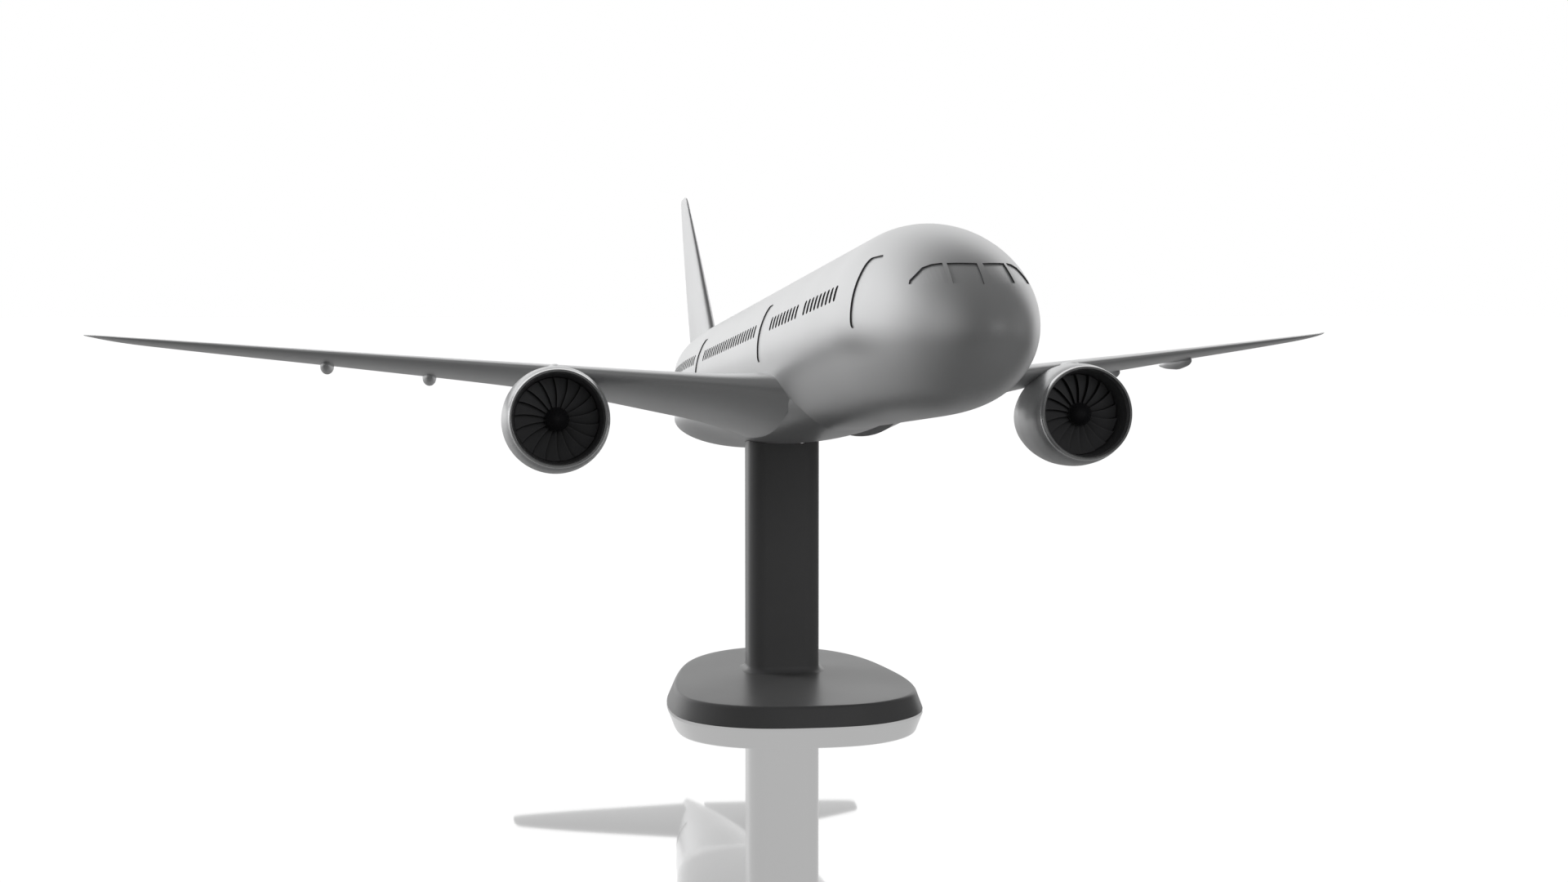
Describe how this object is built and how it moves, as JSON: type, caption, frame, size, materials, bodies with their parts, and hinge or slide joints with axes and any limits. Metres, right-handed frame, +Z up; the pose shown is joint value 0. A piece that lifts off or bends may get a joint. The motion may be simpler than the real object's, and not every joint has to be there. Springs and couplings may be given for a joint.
{
  "type": "desktop airliner model",
  "caption": "Display model of a long-range twin-engine wide-body airliner that lifts off a charcoal desk stand, with fans that spin.",
  "frame": {"origin": "on the table, under the axis of the stand's column", "axes": "+Z up; the nose points towards -Y and the airliner's left wing towards +X"},
  "size_m": [0.4236, 0.4451, 0.1595],
  "materials": {
    "airframe_white": "satin white paint",
    "intake_lip": "satin",
    "fan_black": "satin black",
    "exhaust_metal": "satin",
    "stand_charcoal": "satin charcoal",
    "inner_plastic": "moulded",
    "ballast_steel": "mill finish",
    "bright_steel": "turned",
    "spar_aluminium": "drawn bar",
    "bush_brass": "turned",
    "pad_rubber": "matt"
  },
  "bodies": {
    "stand": {"stand_base": "stand_charcoal", "base_ballast": "ballast_steel", "base_cover": "stand_charcoal", "base_cover_screws": "bright_steel", "base_pad": "pad_rubber", "stand_post": "stand_charcoal", "post_screws": "bright_steel", "stand_tongue": "bright_steel"},
    "airliner": {"belly_fairing": "airframe_white", "core_nozzle_left": "exhaust_metal", "core_nozzle_right": "exhaust_metal", "cowl_left": "airframe_white", "cowl_right": "airframe_white", "exhaust_plug_left": "exhaust_metal", "exhaust_plug_right": "exhaust_metal", "fan_bush_left": "bush_brass", "fan_bush_right": "bush_brass", "flap_fairings_left": "airframe_white", "flap_fairings_right": "airframe_white", "fuselage_dowels": "bright_steel", "fuselage_left_shell": "airframe_white", "fuselage_right_shell": "airframe_white", "intake_lip_left": "intake_lip", "intake_lip_right": "intake_lip", "pylon_left": "airframe_white", "pylon_right": "airframe_white", "spar_saddle": "inner_plastic", "spar_screws": "bright_steel", "stand_socket": "inner_plastic", "stator_left": "fan_black", "stator_right": "fan_black", "tail_fin": "airframe_white", "tailplane_left": "airframe_white", "tailplane_pin": "bright_steel", "tailplane_right": "airframe_white", "wing_left_lower": "airframe_white", "wing_left_upper": "airframe_white", "wing_right_lower": "airframe_white", "wing_right_upper": "airframe_white", "wing_spar": "spar_aluminium"},
    "fan_left": {"fan_rotor_left": "fan_black", "fan_spinner_left": "fan_black", "fan_shaft_left": "bright_steel", "fan_collar_left": "bright_steel"},
    "fan_right": {"fan_rotor_right": "fan_black", "fan_spinner_right": "fan_black", "fan_shaft_right": "bright_steel", "fan_collar_right": "bright_steel"}
  },
  "joints": [
    {"name": "lift_off", "type": "slide", "parent": "stand", "child": "airliner", "axis": [0, 0, 1], "range_m": [0, 0.03]},
    {"name": "fan_left_spin", "type": "hinge", "parent": "airliner", "child": "fan_left", "pos_m": [0.07194, -0.07012, 0.08615], "axis": [0, -0.9959, 0.0906], "continuous": true},
    {"name": "fan_right_spin", "type": "hinge", "parent": "airliner", "child": "fan_right", "pos_m": [-0.07194, -0.07012, 0.08615], "axis": [0, -0.9959, 0.0906], "continuous": true}
  ]
}
